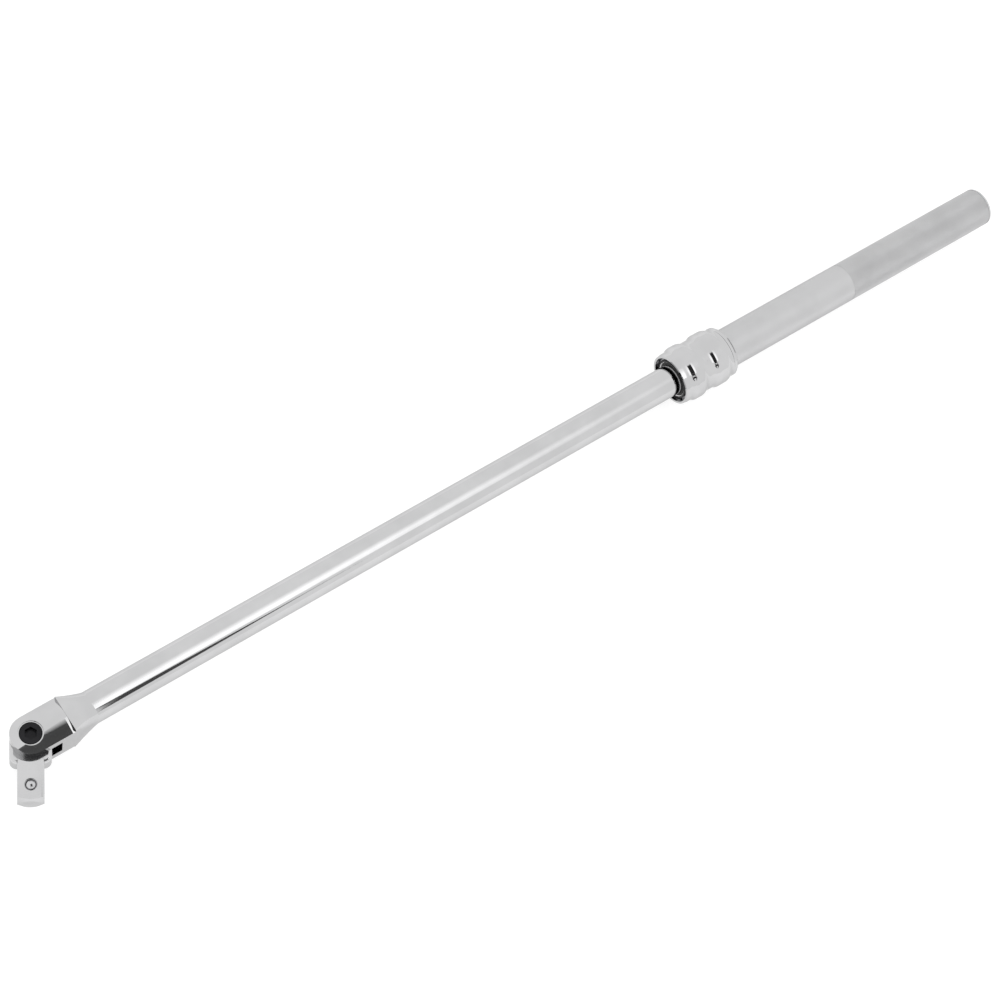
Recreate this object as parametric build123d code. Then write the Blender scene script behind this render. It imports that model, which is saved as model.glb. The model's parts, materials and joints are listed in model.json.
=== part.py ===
from build123d import *
from math import cos, radians, sin
import os

# Telescoping breaker bar with a flexible 1/2 inch square drive head.
# Millimetres. Everything is drawn about the head's pivot: +X runs from the pivot along the bar to the
# handle's end, +Z is the pivot's axis, and the head bends towards -Y. At the end each piece is moved so
# that the part's origin is the centre of the square drive's end face.

# Driving dimensions ------------------------------------------------------------------------------
bend_angle = 60.0  # how far the drive is bent from straight
drive_side = 12.7  # 1/2 inch square
drive_reach = 31.2  # pivot to the end face of the drive
head_height = 20.0  # fork across the bar, seen along the pivot
head_width = 26.2  # fork along the pivot
slot_width = 11.3
head_end = 18.7  # where the fork's cheeks end and the neck begins
neck_end = 34.0
neck_end_radius = 8.2  # just inside the rod
neck_corner = 1.0  # corner radius of the neck where it meets the cheeks
neck_flat = 0.1  # half of each flat that is left between the corners where the neck ends
neck_fade = 1.25  # above 1, the neck narrows faster at first
rod_radius = 8.5
rod_start = 29.0  # inside the neck
rod_end = 448.0
tube_radius = 11.0
tube_bore = 9.2
tube_start = 421.0
spigot_radius = 10.6  # the tube's front end, turned down to fit in the lock body
bar_end = 620.0
travel = 152.4  # the handle draws in by 6 inches
stop_count = 7  # places where the handle locks

fit = 0.02  # gap between pieces fixed to each other
running = 0.05  # gap between pieces that slide or turn
over = 1.0  # how far a cutting shape runs past the face it cuts
beyond = 20.0  # how far one runs past the head

# Head --------------------------------------------------------------------------------------------
half_height = head_height / 2
half_width = head_width / 2
cheek_drop = 2.3  # how far the cheek's facets fall away at its edges
cheek_bulge = (0.084, 0.28)  # how far the middle of each facet bows out, along Y and along Z
ridge_at_pivot = 3.35  # half height of the cheek's flat band beside the pivot
ridge_at_end = 1.85  # and where the cheek ends
cheek_bevel = 1.5  # length of the shallow bevel where the cheek ends
cheek_bevel_drop = 0.19
slot_root = 11.5
shank_radius = 4.0
screw_head_radius = 5.55
screw_head_top = 12.5
screw_head_depth = 2.95
hex_across_flats = 5.6
hex_depth = 2.6
thread_radius = 3.0
thread_end = 12.0
head_edge = 0.4  # chamfer on the screw's head and the nut
spot_face_radius = 6.2
spot_face_floor = 12.2  # just below the top of the screw's head

# Square drive ------------------------------------------------------------------------------------
tang_thickness = 11.1
tang_radius = 10.0
seat_radius = 12.1  # the square's shoulder clears the cheeks through the whole swing
shoulder_end = 12.5
plate_round = 1.8  # rounding of the plate's edges
corner_radius = 1.4
tip_flat_radius = 4.8
tip_cone_slope = 2.25  # radius gained per millimetre back from the end face
ball_radius = 2.6
ball_from_end = 7.9
ball_stands_out = 1.2
ball_centre_z = drive_side / 2 + ball_stands_out - ball_radius
ball_pocket_floor = -3.2
ball_rim_radius = 3.1
ball_rim_depth = 0.45

# Friction plunger that holds the head at its angle ------------------------------------------------
plunger_radius = 2.25
plunger_nose = tang_radius + running
plunger_back = 18.0
plunger_bore_end = 27.0

# Handle lock --------------------------------------------------------------------------------------
lock_x = 410.0
stop_pitch = travel / (stop_count - 1)
flat_start = 250.0
flat_depth = 0.8
lock_ball_radius = 2.75
lock_ball_height = 9.15  # from the bar's axis to the centre of the locked ball
lock_pocket_radius = lock_ball_radius + running
sleeve_start = 392.5
sleeve_end = 425.8
lip_radius = 14.25
lip_end = 394.7
band_radius = 14.65
front_hump_radius = 15.8
rear_hump_radius = 15.65
sleeve_end_radius = 14.35
front_hump = (397.5, 407.3)
rear_hump = (412.9, 424.0)
hump_rise = 2.3  # length of the slope in front of each hump
hump_fall = 2.6  # and behind it
hump_round = 4.5  # radius that softens the humps' corners
sleeve_mouth_radius = 13.05
sleeve_land_radius = 12.08
sleeve_groove_radius = 13.4
sleeve_shoulder = 405.0
groove_end = 418.2
body_start = 393.4
body_end = 427.2
body_bore = rod_radius + 0.08
body_radius = 12.0
body_front_radius = 11.4
body_step = 405.1
body_edge = 0.35  # chamfer on the front end's edges
snap_groove_radius = 10.6
snap_start = 395.3
snap_thickness = 1.0
snap_radius = 12.5
snap_gap = 3.2
snap_gap_angle = 220.0
seat_thickness = 0.8
seat_gap = 0.15  # between the spring's seat and the sleeve that slides round it
wiper_radius = 9.9
wiper_start = 393.9
wiper_end = 395.0
ring_start = 426.0
ring_end = 428.6
ring_radius = 14.35
ring_back_radius = 13.6

# Rod tail and handle end --------------------------------------------------------------------------
tail_neck_start = 441.0
tail_neck_radius = 6.45
tail_screw_radius = 2.5
tail_screw_length = 14.0
tail_hole_depth = 16.0
washer_radius = 8.9
washer_end = 449.5
button_radius = 4.6
button_height = 2.6
button_round = 1.2
button_socket = 1.5  # half of the socket's width across flats
button_socket_depth = 1.6
bush_start = 429.0
bush_end = 440.9
bumper_start = 605.5
bumper_end = 609.0
cap_face = 1.7
grip_start = 515.0
grip_radius = 10.8  # at the foot of the knurl
cap_radius = 10.95
end_round = 1.3


# Small helpers ------------------------------------------------------------------------------------
def bar(radius, start, end):
    """A round bar along X."""
    return Pos((start + end) / 2, 0, 0) * Rot(0, 90, 0) * Cylinder(radius, end - start)


def ring(outer, inner, start, end):
    """A round ring or bush along X."""
    return bar(outer, start, end) - bar(inner, start - over, end + over)


def post(radius, low, high):
    """A round post along the pivot's axis, Z."""
    return Pos(0, 0, (low + high) / 2) * Cylinder(radius, high - low)


def taper(low_radius, high_radius, low, high):
    """A cone along Z."""
    return Pos(0, 0, (low + high) / 2) * Cone(low_radius, high_radius, high - low)


def block(x_range, y_range, z_range):
    """A box between two places on each axis."""
    low = [axis[0] for axis in (x_range, y_range, z_range)]
    high = [axis[1] for axis in (x_range, y_range, z_range)]
    middle = [(a + b) / 2 for a, b in zip(low, high)]
    size = [b - a for a, b in zip(low, high)]
    return Pos(*middle) * Box(*size)


def turned(outline):
    """A solid turned about the bar's axis from a closed outline of edges in X and radius."""
    return revolve(make_face(outline), Axis.X, 360)


def along_bar(x, sketch):
    """A sketch set square to the bar at x, with its own X along Y and its own Y along Z."""
    return Plane(origin=(x, 0, 0), x_dir=(0, 1, 0), z_dir=(1, 0, 0)) * sketch


def coil(mean_radius, wire_radius, length, turns):
    """A compression spring that stands on Z = 0, its wire's centre running the given length."""
    path = Helix(pitch=length / turns, height=length, radius=mean_radius)
    start = Plane(origin=path @ 0, z_dir=path % 0)
    return sweep(start * Circle(wire_radius), path=path, is_frenet=True)


# Head and rod -------------------------------------------------------------------------------------
def facet(ridge, side, face):
    """One bowed facet of the fork's section, from its ridge on the cheek's face to the fork's edge."""
    top = abs(face)
    edge = top - cheek_drop
    middle = ((ridge + half_height) / 2 + cheek_bulge[0], (top + edge) / 2 + cheek_bulge[1])
    points = [(ridge, top), middle, (half_height, edge)]
    up = face / top
    return ThreePointArc(*[(side * y, up * z) for y, z in points])


def cheek_section(x, lowered=0.0):
    """Section of the fork: a flat band in the middle of each cheek and a facet on each side of it."""
    ridge = ridge_at_pivot + (ridge_at_end - ridge_at_pivot) * x / head_end
    face = half_width - lowered
    edge = face - cheek_drop
    outline = Curve()
    for sign in (1, -1):
        outline += facet(ridge, sign, face)
        outline += facet(ridge, sign, -face)
        outline += Line((sign * half_height, edge), (sign * half_height, -edge))
        outline += Line((-ridge, sign * face), (ridge, sign * face))
    return along_bar(x, make_face(outline))


def neck_section(x):
    """Section of the neck, which fades from the fork's rounded box and dips into the round rod."""
    along = (x - head_end) / (neck_end - head_end)
    fade = 1 - (1 - along) ** neck_fade
    width = half_width + (neck_end_radius - half_width) * fade
    height = half_height + (neck_end_radius - half_height) * fade
    round_corner = neck_end_radius - neck_flat
    corner = neck_corner + (round_corner - neck_corner) * fade
    return along_bar(x, RectangleRounded(2 * height, 2 * width, corner))


def fork_blank():
    """The forged head before it is slotted and drilled."""
    bevel_start = head_end - cheek_bevel
    sections = [cheek_section(-half_height - over), cheek_section(bevel_start)]
    sections.append(cheek_section(head_end, cheek_bevel_drop))
    cheeks = loft(sections, ruled=True)
    outline = post(half_height, -half_width, half_width)
    outline += block((0, head_end), (-half_height, half_height), (-half_width, half_width))
    steps = 6
    places = [head_end + (neck_end - head_end) * i / steps for i in range(steps + 1)]
    return (cheeks & outline) + loft([neck_section(x) for x in places])


def pivot_holes():
    """Holes for the screw's head, its shank and the nut, and a shallow spot face round each end."""
    head_seat = screw_head_top - screw_head_depth - running
    head_hole = post(screw_head_radius + running, head_seat, half_width + over)
    nut_hole = post(screw_head_radius + fit, -half_width - over, 0)
    shank_hole = post(shank_radius + running, 0, half_width)
    spot_faces = post(spot_face_radius, spot_face_floor, half_width + over)
    spot_faces += post(spot_face_radius, -half_width - over, -spot_face_floor)
    return head_hole + nut_hole + shank_hole + spot_faces


def rod_flat_and_stops():
    """The flat under the rod that stops it turning, and the row of pockets for the lock ball."""
    flat_z = rod_radius - flat_depth
    cut = block((flat_start, rod_end + over), (-rod_radius, rod_radius), (-rod_radius - over, -flat_z))
    for stop in range(stop_count):
        cut += Pos(lock_x - stop * stop_pitch, 0, -lock_ball_height) * Sphere(lock_pocket_radius)
    return cut


def make_yoke_rod():
    """The fork and the long rod, forged in one piece."""
    body = fork_blank() + bar(rod_radius, rod_start, rod_end)
    half_slot = slot_width / 2
    body -= block((-beyond, slot_root), (-beyond, beyond), (-half_slot, half_slot))
    body -= pivot_holes()
    body -= bar(plunger_radius + running, slot_root - over, plunger_bore_end)
    body -= rod_flat_and_stops()
    body -= ring(rod_radius + over, tail_neck_radius, tail_neck_start, rod_end + over)
    body -= bar(tail_screw_radius + fit, rod_end - tail_hole_depth, rod_end + over)
    return body


# Square drive -------------------------------------------------------------------------------------
def swing(shape):
    """Turn a piece drawn with the drive along +X to where the bent drive points."""
    return Rot(0, 0, 180 + bend_angle) * shape


def drive_square():
    """The square, its end turned to a shallow cone round a flat."""
    start = tang_radius / 2
    square = along_bar(start, RectangleRounded(drive_side, drive_side, corner_radius))
    square = extrude(square, drive_reach - start)
    back = drive_reach - (drive_side - tip_flat_radius) / tip_cone_slope
    envelope = Polyline(
        (0, 0),
        (drive_reach, 0),
        (drive_reach, tip_flat_radius),
        (back, drive_side),
        (0, drive_side),
        close=True,
    )
    return square & turned(envelope)


def tang_plate():
    """The tang: a plate round the pivot with parallel sides and rounded edges, wider than the square."""
    shoulder = Pos(shoulder_end / 2, 0, 0) * Rectangle(shoulder_end, 2 * tang_radius)
    corners = shoulder.vertices().group_by(Axis.X)[-1]
    outline = fillet(corners, tang_radius - drive_side / 2) + Circle(tang_radius)
    plate = extrude(outline, tang_thickness / 2, both=True)
    faces = plate.edges().group_by(Axis.Z)
    return fillet(faces[0] + faces[-1], plate_round)


def make_drive_tang():
    """The square drive with the flat tang that sits in the fork."""
    half_tang = tang_thickness / 2
    seat_cut = post(seat_radius, half_tang, drive_side) + post(seat_radius, -drive_side, -half_tang)
    body = drive_square() - seat_cut + tang_plate()
    body -= post(shank_radius + running, -drive_side, drive_side)
    ball_x = drive_reach - ball_from_end
    face = drive_side / 2
    pocket = post(ball_radius + running, ball_pocket_floor, face + over)
    pocket += taper(ball_radius, ball_rim_radius, face - ball_rim_depth, face)
    return swing(body - Pos(ball_x, 0, 0) * pocket)


def make_drive_ball():
    """The detent ball that keeps a socket on the square."""
    return swing(Pos(drive_reach - ball_from_end, 0, ball_centre_z) * Sphere(ball_radius))


def make_drive_ball_spring():
    """Compression spring under the detent ball."""
    wire = 0.25
    mean = 1.9
    turns = 5
    low = ball_pocket_floor + wire + fit
    reach = ball_radius + wire + running
    high = ball_centre_z - (reach**2 - mean**2) ** 0.5
    return swing(Pos(drive_reach - ball_from_end, 0, low) * coil(mean, wire, high - low, turns))


# Pivot --------------------------------------------------------------------------------------------
def make_pivot_screw():
    """Socket-head shoulder screw that the drive turns on."""
    head_low = screw_head_top - screw_head_depth
    head = post(screw_head_radius, head_low, screw_head_top)
    head = chamfer(head.edges().group_by(Axis.Z)[-1], head_edge)
    screw = head + post(shank_radius, -slot_width / 2, head_low)
    screw += post(thread_radius, -thread_end, -slot_width / 2)
    socket = RegularPolygon(hex_across_flats / 2, 6, major_radius=False)
    return screw - Pos(0, 0, screw_head_top - hex_depth) * extrude(socket, hex_depth + over)


def make_pivot_nut():
    """Round nut pressed into the far cheek."""
    nut = post(screw_head_radius, -screw_head_top, -slot_width / 2 - running)
    nut = chamfer(nut.edges().group_by(Axis.Z)[0], head_edge)
    return nut - post(thread_radius + fit, -half_width, 0)


def make_friction_plunger():
    """Round-nosed plunger that rubs on the tang's rim."""
    nose_centre = plunger_nose + plunger_radius
    body = bar(plunger_radius, nose_centre, plunger_back)
    return body + Pos(nose_centre, 0, 0) * Sphere(plunger_radius)


def make_plunger_spring():
    """Compression spring that pushes the plunger against the tang."""
    wire = 0.3
    mean = 1.7
    turns = 7
    start = plunger_back + wire + fit
    length = plunger_bore_end - wire - fit - start
    return Pos(start, 0, 0) * Rot(0, 90, 0) * coil(mean, wire, length, turns)


# Rod tail -----------------------------------------------------------------------------------------
def make_tail_guide():
    """Nylon ring on the rod's tail; it slides in the tube and meets the guide bush at full length."""
    return ring(tube_bore - running, tail_neck_radius + fit, tail_neck_start + fit, rod_end - fit)


def make_tail_washer():
    """Washer that keeps the nylon guide on the rod's tail."""
    return ring(washer_radius, tail_screw_radius + fit, rod_end + fit, washer_end)


def make_tail_screw():
    """Button-head screw that holds the tail's washer and guide."""
    head_start = washer_end + fit
    head = bar(button_radius, head_start, head_start + button_height)
    head = fillet(head.edges().group_by(Axis.X)[-1], button_round)
    floor = head_start + button_height - button_socket_depth
    socket = extrude(along_bar(floor, RegularPolygon(button_socket, 6, major_radius=False)), button_height)
    return head + bar(tail_screw_radius, rod_end - tail_screw_length, head_start) - socket


# Handle lock --------------------------------------------------------------------------------------
def make_lock_body():
    """Body on the tube's front end: it guides the rod and holds the lock ball."""
    front = bar(body_front_radius, body_start, body_step) - bar(wiper_radius, body_start - over, wiper_end)
    front = chamfer(front.edges().group_by(Axis.X)[0], body_edge)
    body = front + bar(body_radius, body_step, body_end)
    flat_z = rod_radius - flat_depth + running
    bore = bar(body_bore, body_start - over, body_end + over)
    bore -= block((body_step, tube_start), (-body_bore, body_bore), (-body_bore - over, -flat_z))
    body -= bore
    body -= bar(spigot_radius + fit, tube_start, body_end + over)
    snap_end = snap_start + snap_thickness
    body -= ring(body_radius, snap_groove_radius, snap_start - fit, snap_end + fit)
    ball_hole = post(lock_ball_radius + running, -body_radius - over, -rod_radius / 2)
    return body - Pos(lock_x, 0, 0) * ball_hole


def make_lock_ball():
    """Ball that locks the handle to one of the rod's pockets."""
    return Pos(lock_x, 0, -lock_ball_height) * Sphere(lock_ball_radius)


def hump(start, end, radius):
    """Corners of one hump: the foot of its slope, then the two ends of its level crest."""
    return [(start, band_radius), (start + hump_rise, radius), (end - hump_fall, radius)]


def sleeve_outer_line():
    """From the mouth over two humps to the rear end, with every corner rounded."""
    corners = [(sleeve_start, lip_radius), (lip_end, band_radius)]
    corners += hump(*front_hump, front_hump_radius)
    corners += [(front_hump[1], band_radius)]
    corners += hump(*rear_hump, rear_hump_radius)
    corners += [(rear_hump[1], sleeve_end_radius), (sleeve_end, sleeve_end_radius)]
    return FilletPolyline(*corners, radius=hump_round)


def make_lock_sleeve():
    """The sleeve that is pushed towards the head to free the handle."""
    outer = sleeve_outer_line()
    groove_rise = sleeve_groove_radius - sleeve_land_radius
    inner = Polyline(
        outer @ 1,
        (sleeve_end, sleeve_land_radius),
        (groove_end, sleeve_land_radius),
        (groove_end - groove_rise, sleeve_groove_radius),
        (lock_x + groove_rise, sleeve_groove_radius),
        (lock_x, sleeve_land_radius),
        (sleeve_shoulder, sleeve_land_radius),
        (sleeve_shoulder, sleeve_mouth_radius),
        (sleeve_start, sleeve_mouth_radius),
        outer @ 0,
    )
    return turned(outer + inner)


def make_sleeve_spring():
    """Spring that pushes the sleeve back against the collar ring."""
    wire = 0.6
    mean = 12.3
    turns = 2.5
    start = snap_start + snap_thickness + fit + seat_thickness + wire + fit
    length = sleeve_shoulder - running - wire - start
    return Pos(start, 0, 0) * Rot(0, 90, 0) * coil(mean, wire, length, turns)


def make_spring_seat():
    """Washer between the snap ring and the sleeve's spring."""
    start = snap_start + snap_thickness + fit
    return ring(sleeve_mouth_radius - seat_gap, body_front_radius + running, start, start + seat_thickness)


def make_snap_ring():
    """Open ring in the lock body's front groove; it holds the spring's seat."""
    snap_end = snap_start + snap_thickness
    clip = ring(snap_radius, snap_groove_radius + fit, snap_start, snap_end)
    half_gap = snap_gap / 2
    opening = block((snap_start - over, snap_end + over), (0, beyond), (-half_gap, half_gap))
    return clip - Rot(snap_gap_angle, 0, 0) * opening


def make_rod_wiper():
    """Soft ring that keeps dirt out of the lock."""
    return ring(wiper_radius - fit, rod_radius + running, wiper_start, wiper_end - fit)


def make_collar_ring():
    """Plain ring that closes the lock's rear end and stops the sleeve."""
    corner = 0.5
    outline = Polyline(
        (ring_end, ring_back_radius),
        (ring_end, spigot_radius + fit),
        (body_end + fit, spigot_radius + fit),
        (body_end + fit, body_radius + fit),
        (ring_start, body_radius + fit),
        (ring_start, ring_radius - corner),
        (ring_start + corner, ring_radius),
        (ring_end - 2 * corner, ring_radius),
        close=True,
    )
    return turned(outline)


# Handle -------------------------------------------------------------------------------------------
def make_guide_bush():
    """Thin bearing for the rod inside the tube; the tail guide stops against it."""
    return ring(tube_bore - fit, rod_radius + running, bush_start, bush_end)


def make_handle_tube():
    """The handle: a steel tube with its grip at the far end."""
    end = bar_end - cap_face
    tube = bar(spigot_radius, tube_start, ring_end) + bar(tube_radius, ring_end, grip_start)
    tube += bar(grip_radius, grip_start, end)
    return tube - bar(tube_bore, tube_start - over, bar_end)


def make_tail_bumper():
    """Rubber disc that the rod's tail meets when the handle is drawn in."""
    return bar(tube_bore - fit, bumper_start, bumper_end)


def make_end_cap():
    """Plug that closes the tube, with a thin rounded face."""
    face_start = bar_end - cap_face
    face = bar(cap_radius, face_start + fit, bar_end)
    face = fillet(face.edges().group_by(Axis.X)[-1], end_round)
    return face + bar(tube_bore - fit, bumper_end + fit, face_start + cap_face / 2)


# Writing the pieces -------------------------------------------------------------------------------
pieces = {
    "yoke_rod": make_yoke_rod,
    "drive_tang": make_drive_tang,
    "drive_ball": make_drive_ball,
    "drive_ball_spring": make_drive_ball_spring,
    "pivot_screw": make_pivot_screw,
    "pivot_nut": make_pivot_nut,
    "friction_plunger": make_friction_plunger,
    "plunger_spring": make_plunger_spring,
    "tail_guide": make_tail_guide,
    "tail_washer": make_tail_washer,
    "tail_screw": make_tail_screw,
    "lock_body": make_lock_body,
    "lock_ball": make_lock_ball,
    "lock_sleeve": make_lock_sleeve,
    "sleeve_spring": make_sleeve_spring,
    "spring_seat": make_spring_seat,
    "snap_ring": make_snap_ring,
    "rod_wiper": make_rod_wiper,
    "collar_ring": make_collar_ring,
    "guide_bush": make_guide_bush,
    "handle_tube": make_handle_tube,
    "tail_bumper": make_tail_bumper,
    "end_cap": make_end_cap,
}

pivot = Pos(drive_reach * cos(radians(bend_angle)), drive_reach * sin(radians(bend_angle)), 0)
os.makedirs("parts", exist_ok=True)
for node, make in pieces.items():
    export_step(pivot * make(), f"parts/{node}.step")
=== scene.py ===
import json
from math import cos, pi, radians, sin

import bpy
from mathutils import Euler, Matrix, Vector


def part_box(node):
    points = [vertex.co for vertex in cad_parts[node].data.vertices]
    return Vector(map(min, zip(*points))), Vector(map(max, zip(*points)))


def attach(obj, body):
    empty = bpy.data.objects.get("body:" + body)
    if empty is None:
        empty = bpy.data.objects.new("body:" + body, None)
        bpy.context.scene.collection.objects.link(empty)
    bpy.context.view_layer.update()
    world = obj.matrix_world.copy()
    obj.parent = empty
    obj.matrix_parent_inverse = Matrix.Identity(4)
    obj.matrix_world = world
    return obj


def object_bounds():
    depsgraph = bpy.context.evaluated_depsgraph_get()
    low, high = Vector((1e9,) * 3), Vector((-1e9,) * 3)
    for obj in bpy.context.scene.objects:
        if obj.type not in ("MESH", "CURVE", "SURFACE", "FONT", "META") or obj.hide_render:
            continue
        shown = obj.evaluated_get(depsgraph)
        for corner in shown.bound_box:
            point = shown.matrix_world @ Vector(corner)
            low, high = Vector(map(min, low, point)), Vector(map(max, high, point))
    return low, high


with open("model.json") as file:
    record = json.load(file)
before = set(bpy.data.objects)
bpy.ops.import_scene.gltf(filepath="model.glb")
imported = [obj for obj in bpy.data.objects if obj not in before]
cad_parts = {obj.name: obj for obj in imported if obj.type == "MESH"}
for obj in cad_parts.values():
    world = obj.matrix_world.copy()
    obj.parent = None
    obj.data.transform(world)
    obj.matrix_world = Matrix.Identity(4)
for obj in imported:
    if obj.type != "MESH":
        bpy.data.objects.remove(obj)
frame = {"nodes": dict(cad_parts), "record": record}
cad_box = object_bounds()

# Driving values, in metres and degrees; only the lens is in millimetres.
camera_place = Vector((-0.1683, -0.2834, 1.094))
camera_turn = (24.434, -10.438, -34.895)
focal_length = 84.6
sensor_width = 36.0

pivot_x = 0.0156
bar_axis_y = 0.02702
bar_middle = Vector((0.3, 0, 0))  # a round figure; the floor and the lamp are set out from it
grip_start = pivot_x + 0.515
knurl_pitch = 0.00105  # along the bar, from one row of points to the next
knurl_squeeze = 0.62  # a point's width round the tube, as a share of the pitch along it
knurl_depth = 0.00016
knurl_inset = 0.00002  # the points stay this far inside the tube's own radius
knurl_lead = 0.0006  # plain strip in front of the knurl
knurl_tail = 0.0002  # and behind it
rim_highlight_radius = 0.01005  # radius of a bright ring painted round the lock body's mouth: a painted highlight on the bore's edge
rim_highlight_width = 0.0002

steel_black = (0.012, 0.012, 0.013)
even = (1, 1, 1)  # a grain with no direction
along_bar = (0.05, 1, 1)  # a grain drawn out along the bar
grain_height = 0.00002
edge_tint = (0.7, 0.7, 0.7, 1)  # keeps the metals from brightening where they turn away
white = (1, 1, 1, 1)

sky = 1.05  # brightness of the room round the table
floor_glow = 0.72
floor_size = 12
floor_gap = 0.0001  # from the lowest point of the tool down to the floor
lamp_size = (2.4, 1.6)
lamp_energy = 12
lamp_place = (0.2, -0.4, 1.6)
ceiling_z = 1.45  # height of the cards over the bar
front_y = -1.2  # where the cards in front of the bar stand
gap_y = -0.75  # a nearer one, so that the rod shows it and the collar doesn't
flag_z = 0.1  # a small flag close over the fork
light_glow = 1.8
gap_glow = 0.03
near_glow = 0.09  # the two cards that stand nearer to the bar


# Node helpers -------------------------------------------------------------------------------------
class Graph:
    """A short way to build a material's nodes."""

    def __init__(self, name):
        self.material = bpy.data.materials.new(name)
        self.material.use_nodes = True
        self.tree = self.material.node_tree
        self.shader = self.tree.nodes["Principled BSDF"]

    def node(self, kind, **values):
        made = self.tree.nodes.new(kind)
        for key, value in values.items():
            setattr(made, key, value)
        return made

    def link(self, source, target):
        self.tree.links.new(source, target)

    def place(self, scale=even):
        """Object coordinates, stretched by a scale on each axis."""
        coordinates = self.node("ShaderNodeTexCoord")
        mapping = self.node("ShaderNodeMapping")
        mapping.inputs["Scale"].default_value = scale
        self.link(coordinates.outputs["Object"], mapping.inputs["Vector"])
        return mapping.outputs["Vector"]

    def noise(self, scale, stretch=even, detail=4.0, roughness=0.6):
        texture = self.node("ShaderNodeTexNoise")
        texture.inputs["Scale"].default_value = scale
        texture.inputs["Detail"].default_value = detail
        texture.inputs["Roughness"].default_value = roughness
        self.link(self.place(stretch), texture.inputs["Vector"])
        return texture.outputs["Fac"]

    def span(self, value, low, high, from_low=0.35, from_high=0.65):
        """Spreads a value's middle range over low to high."""
        spread = self.node("ShaderNodeMapRange")
        spread.inputs["From Min"].default_value = from_low
        spread.inputs["From Max"].default_value = from_high
        spread.inputs["To Min"].default_value = low
        spread.inputs["To Max"].default_value = high
        self.link(value, spread.inputs["Value"])
        return spread.outputs["Result"]

    def axis(self, name):
        """One axis of the object coordinates."""
        split = self.node("ShaderNodeSeparateXYZ")
        self.link(self.place(), split.inputs["Vector"])
        return split.outputs[name]

    def math(self, operation, *values):
        """One sum or comparison on sockets and plain numbers."""
        made = self.node("ShaderNodeMath", operation=operation)
        for socket, value in zip(made.inputs, values):
            if isinstance(value, float):
                socket.default_value = value
            else:
                self.link(value, socket)
        return made.outputs[0]

    def mix(self, factor, first, second):
        blend = self.node("ShaderNodeMix", data_type="RGBA")
        blend.inputs["A"].default_value = (*first, 1)
        blend.inputs["B"].default_value = (*second, 1)
        self.link(factor, blend.inputs["Factor"])
        return blend.outputs["Result"]

    def bump(self, height, strength):
        bump = self.node("ShaderNodeBump")
        bump.inputs["Strength"].default_value = strength
        bump.inputs["Distance"].default_value = grain_height
        self.link(height, bump.inputs["Height"])
        self.link(bump.outputs["Normal"], self.shader.inputs["Normal"])


def metal(name, dark, light, smooth, rough, grain, stretch=even, bump=0.05, metallic=1.0):
    """Metal whose colour follows a broad cloud, its roughness and surface a fine grain."""
    graph = Graph(name)
    graph.shader.inputs["Metallic"].default_value = metallic
    graph.shader.inputs["Specular Tint"].default_value = edge_tint
    fine = graph.noise(grain, stretch)
    cloud = graph.noise(60, detail=2.0)
    graph.link(graph.mix(graph.span(cloud, 0, 1), dark, light), graph.shader.inputs["Base Color"])
    graph.link(graph.span(fine, smooth, rough), graph.shader.inputs["Roughness"])
    graph.bump(fine, bump)
    return graph.material


def plastic(name, dark, light, smooth, rough, grain):
    """The same grain, deeper, on something that isn't metal."""
    return metal(name, dark, light, smooth, rough, grain, bump=0.15, metallic=0.0)


def black_painted_rim_highlight(name):
    """Black steel with a painted highlight: a thin bright ring painted round the rod at the bore's edge,
    seen in the mouth.
    """
    graph = Graph(name)
    graph.shader.inputs["Metallic"].default_value = 0.8
    across = graph.node("ShaderNodeCombineXYZ")
    graph.link(graph.math("SUBTRACT", graph.axis("Y"), bar_axis_y), across.inputs["Y"])
    graph.link(graph.axis("Z"), across.inputs["Z"])
    radius = graph.node("ShaderNodeVectorMath", operation="LENGTH")
    graph.link(across.outputs["Vector"], radius.inputs[0])
    rim = graph.math("COMPARE", radius.outputs["Value"], rim_highlight_radius, rim_highlight_width)
    fine = graph.noise(1200)
    # The bright ring is a painted highlight, mixed into the base colour at the bore's edge.
    colour = graph.mix(rim, steel_black, (0.80, 0.80, 0.80))
    graph.link(colour, graph.shader.inputs["Base Color"])
    graph.link(graph.span(fine, 0.3, 0.45), graph.shader.inputs["Roughness"])
    graph.bump(fine, 0.05)
    return graph.material


# Each slot's look: dark and light colour, smoothest and roughest, scale of the grain, and then for
# some metals the grain's direction, its bump and how metallic it is.
metals = {
    "bright_chrome": ((0.55, 0.55, 0.555), (0.59, 0.59, 0.595), 0.03, 0.08, 900, along_bar, 0.01),
    "satin_chrome": ((0.56, 0.56, 0.565), (0.60, 0.60, 0.605), 0.09, 0.15, 1500, even, 0.015),
    "tube_chrome": ((0.53, 0.53, 0.535), (0.56, 0.56, 0.565), 0.28, 0.38, 1400, along_bar),
    "knurl_chrome": ((0.52, 0.52, 0.525), (0.56, 0.56, 0.565), 0.34, 0.46, 1500),
    "ball_steel": ((0.55, 0.55, 0.56), (0.62, 0.62, 0.63), 0.04, 0.10, 700, even, 0.01),
    "spring_steel": ((0.32, 0.32, 0.33), (0.42, 0.42, 0.43), 0.22, 0.36, 900),
    "zinc_steel": ((0.50, 0.51, 0.53), (0.62, 0.63, 0.65), 0.28, 0.42, 700),
    "black_steel": (steel_black, (0.022, 0.022, 0.024), 0.28, 0.40, 1200, even, 0.05, 0.8),
    "bronze": ((0.42, 0.26, 0.12), (0.55, 0.36, 0.18), 0.35, 0.5, 900),
}
plastics = {
    "nylon": ((0.74, 0.71, 0.63), (0.80, 0.77, 0.70), 0.45, 0.6, 500),
    "black_rubber": ((0.012, 0.012, 0.012), (0.025, 0.025, 0.025), 0.6, 0.8, 900),
}
materials = {slot: metal(slot, *look) for slot, look in metals.items()}
materials.update((slot, plastic(slot, *look)) for slot, look in plastics.items())


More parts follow.
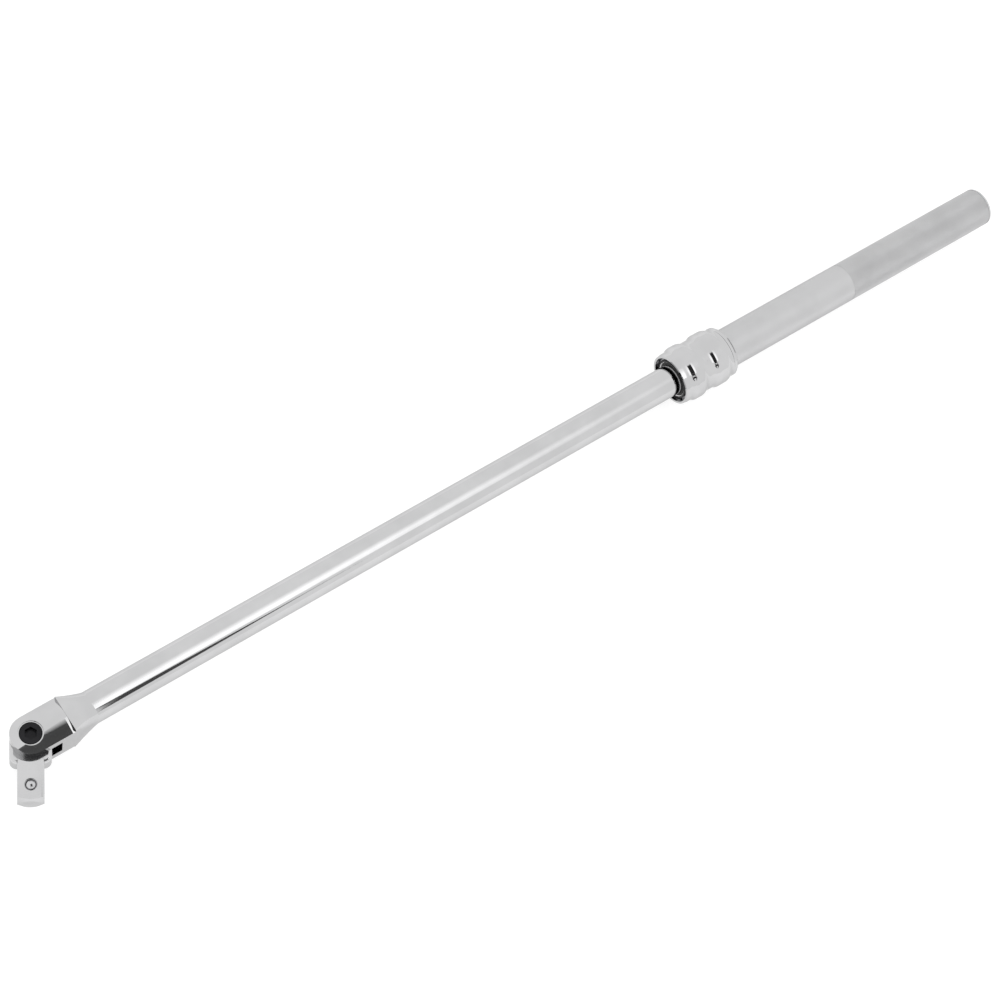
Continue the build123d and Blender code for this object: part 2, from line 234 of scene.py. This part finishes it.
def dress_cad_nodes():
    """Gives each CAD node the material of its slot in the record, and the lock body a painted highlight
    ring at its mouth.
    """
    for part in frame["record"]["subparts"]:
        mesh = frame["nodes"][part["node"]].data
        mesh.materials.clear()
        mesh.materials.append(materials[part["material_slot"]])
    # The lock body gets black steel with a painted highlight ring round its mouth.
    frame["nodes"]["lock_body"].data.materials[0] = black_painted_rim_highlight("black_painted_rim_highlight")


def knurl_points(start, step, rows, around, radii, centre_y):
    """Rows of points round the tube, by turns at the foot and the crest of the knurl.

    Every second row is shifted by half a step.
    """
    points = []
    for row in range(rows + 1):
        for place in range(around):
            for radius, half in zip(radii, (0.0, 0.5)):
                angle = 2 * pi * (place + half + 0.5 * (row % 2)) / around
                points.append((start + row * step, centre_y + radius * cos(angle), radius * sin(angle)))
    return points


def knurl_faces(rows, around):
    """Four triangles round each crest point between the two end rows."""

    def spot(row, place, tip=0):
        return 2 * (row * around + place % around) + tip

    faces = []
    for row in range(1, rows):
        for place in range(around):
            shift = place + row % 2
            tip = spot(row, place, 1)
            left = spot(row, place)
            right = spot(row, place + 1)
            before = spot(row - 1, shift)
            after = spot(row + 1, shift)
            faces += [(tip, left, before), (tip, before, right), (tip, right, after), (tip, after, left)]
    return faces


def knurl_grip():
    """Diamond knurl rolled into the grip: a lattice of points between crossing grooves."""
    low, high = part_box("handle_tube")
    centre_y = (low.y + high.y) / 2
    crest = (high.y - low.y) / 2 - knurl_inset
    start = grip_start + knurl_lead
    end = high.x - knurl_tail
    rows = 2 * round((end - start) / knurl_pitch)
    around = round(2 * pi * crest / (knurl_pitch * knurl_squeeze))
    step = (end - start) / rows
    points = knurl_points(start, step, rows, around, (crest - knurl_depth, crest), centre_y)
    mesh = bpy.data.meshes.new("grip_knurl")
    mesh.from_pydata(points, [], knurl_faces(rows, around))
    mesh.materials.append(materials["knurl_chrome"])
    piece = bpy.data.objects.new("grip_knurl", mesh)
    bpy.context.scene.collection.objects.link(piece)
    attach(piece, "handle")


# Stage --------------------------------------------------------------------------------------------
def make_floor():
    """Pale floor, lit partly by its own glow so that the bar's shadow on it stays faint."""
    lowest = cad_box[0][2]
    bpy.ops.mesh.primitive_plane_add(
        size=floor_size, location=(bar_middle.x, bar_middle.y, lowest - floor_gap)
    )
    floor = bpy.context.object
    floor.name = "floor"
    graph = Graph("floor_paint")
    cloud = graph.noise(3, detail=2.0)
    graph.link(graph.mix(cloud, (0.33, 0.33, 0.33), (0.35, 0.35, 0.35)), graph.shader.inputs["Base Color"])
    graph.shader.inputs["Roughness"].default_value = 0.9
    graph.shader.inputs["Specular IOR Level"].default_value = 0.0
    graph.shader.inputs["Emission Color"].default_value = white
    graph.shader.inputs["Emission Strength"].default_value = floor_glow
    floor.data.materials.append(graph.material)


def make_world():
    """An even white room."""
    world = bpy.data.worlds.new("studio")
    bpy.context.scene.world = world
    world.use_nodes = True
    background = world.node_tree.nodes["Background"]
    background.inputs["Color"].default_value = white
    background.inputs["Strength"].default_value = sky


def card(name, corners, radiance, fades=()):
    """A studio card that shows only in reflections.

    Each fade names an axis, where the card still looks like the sky, and where it is itself.
    """
    mesh = bpy.data.meshes.new(name)
    mesh.from_pydata(corners, [], [tuple(range(len(corners)))])
    graph = Graph(name)
    emission = graph.node("ShaderNodeEmission")
    emission.inputs["Strength"].default_value = radiance
    ramps = [graph.span(graph.axis(axis), 0, 1, start, end) for axis, start, end in fades]
    if ramps:
        share = ramps[0]
        for ramp in ramps[1:]:
            share = graph.math("MULTIPLY", share, ramp)
        graph.link(graph.span(share, sky, radiance, 0, 1), emission.inputs["Strength"])
    graph.link(emission.outputs["Emission"], graph.tree.nodes["Material Output"].inputs["Surface"])
    mesh.materials.append(graph.material)
    made = bpy.data.objects.new(name, mesh)
    bpy.context.scene.collection.objects.link(made)
    made.visible_camera = False
    made.visible_diffuse = False
    made.visible_shadow = False


def upright(name, x_range, z_range, radiance):
    """A card that stands in front of the bar."""
    left, right = x_range
    low, high = z_range
    plan = ((left, low), (right, low), (right, high), (left, high))
    card(name, [(x, front_y, z) for x, z in plan], radiance)


def overhead(name, left_edge, right_edge, y_range, height, radiance, fades):
    """A level card over the bar. An edge that slants has one X in front and another behind."""
    near, far = y_range
    plan = ((left_edge[0], near), (right_edge[0], near), (right_edge[1], far), (left_edge[1], far))
    card(name, [(x, y, height) for x, y in plan], radiance, fades)


def make_cards():
    """What the chrome mirrors: a soft ceiling light, and the dark gaps beside it and in front."""
    # The light hangs over the handle's end, and the gap beside it over the head's end.
    right = 1.25
    depth = (front_y, 0.2)
    fades = [("X", right, 0.65), ("Y", 0.2, -0.47)]
    overhead("ceiling_light", (0.36, 0.295), (right, right), depth, ceiling_z, light_glow, fades)
    depth = (front_y, 0.1)
    fades = [("Y", 0.08, -0.06)]
    overhead("ceiling_gap", (-0.45, -0.45), (0.36, 0.30), depth, ceiling_z, gap_glow, fades)
    # A bright slit of sky stays open between the next two.
    upright("high_front", (-1.0, 0.12), (1.12, ceiling_z), gap_glow)
    upright("low_front", (-1.0, 0.12), (0.72, 0.97), gap_glow)
    # The near gap narrows to a point along the bar; the rod shows it as a tapering dark line.
    gap_foot = [(0.209, 0.293), (0.314, 0.35), (0.437, 0.476)]
    gap_tip = [(0.518, 0.501)]
    gap_top = [(0.443, 0.526), (0.398, 0.571), (0.278, 0.92)]
    card("front_gap", [(x, gap_y, z) for x, z in gap_foot + gap_tip + gap_top], near_glow)
    # A small dark flag close over the fork darkens only the fork's lower facet.
    fades = [("Y", 0.016, 0.006)]
    overhead("head_flag", (-0.03, -0.03), (0.058, 0.058), (-0.075, 0.016), flag_z, near_glow, fades)


def make_lamp():
    """A wide soft lamp over the bar, for the surfaces that don't mirror the room."""
    light = bpy.data.lights.new("soft_lamp", "AREA")
    light.shape = "RECTANGLE"
    light.size, light.size_y = lamp_size
    light.energy = lamp_energy
    lamp = bpy.data.objects.new("soft_lamp", light)
    lamp.location = lamp_place
    lamp.rotation_euler = (bar_middle - lamp.location).to_track_quat("-Z", "Y").to_euler()
    lamp.visible_glossy = False
    bpy.context.scene.collection.objects.link(lamp)


def make_camera():
    """The photograph's view of the tool."""
    data = bpy.data.cameras.new("camera")
    data.lens = focal_length
    data.sensor_width = sensor_width
    data.clip_start = 0.01
    camera = bpy.data.objects.new("camera", data)
    camera.location = camera_place
    camera.rotation_euler = Euler([radians(a) for a in camera_turn])
    bpy.context.scene.collection.objects.link(camera)
    bpy.context.scene.camera = camera


dress_cad_nodes()
knurl_grip()
make_floor()
make_world()
make_cards()
make_lamp()
make_camera()
bpy.context.scene.view_settings.view_transform = "Standard"
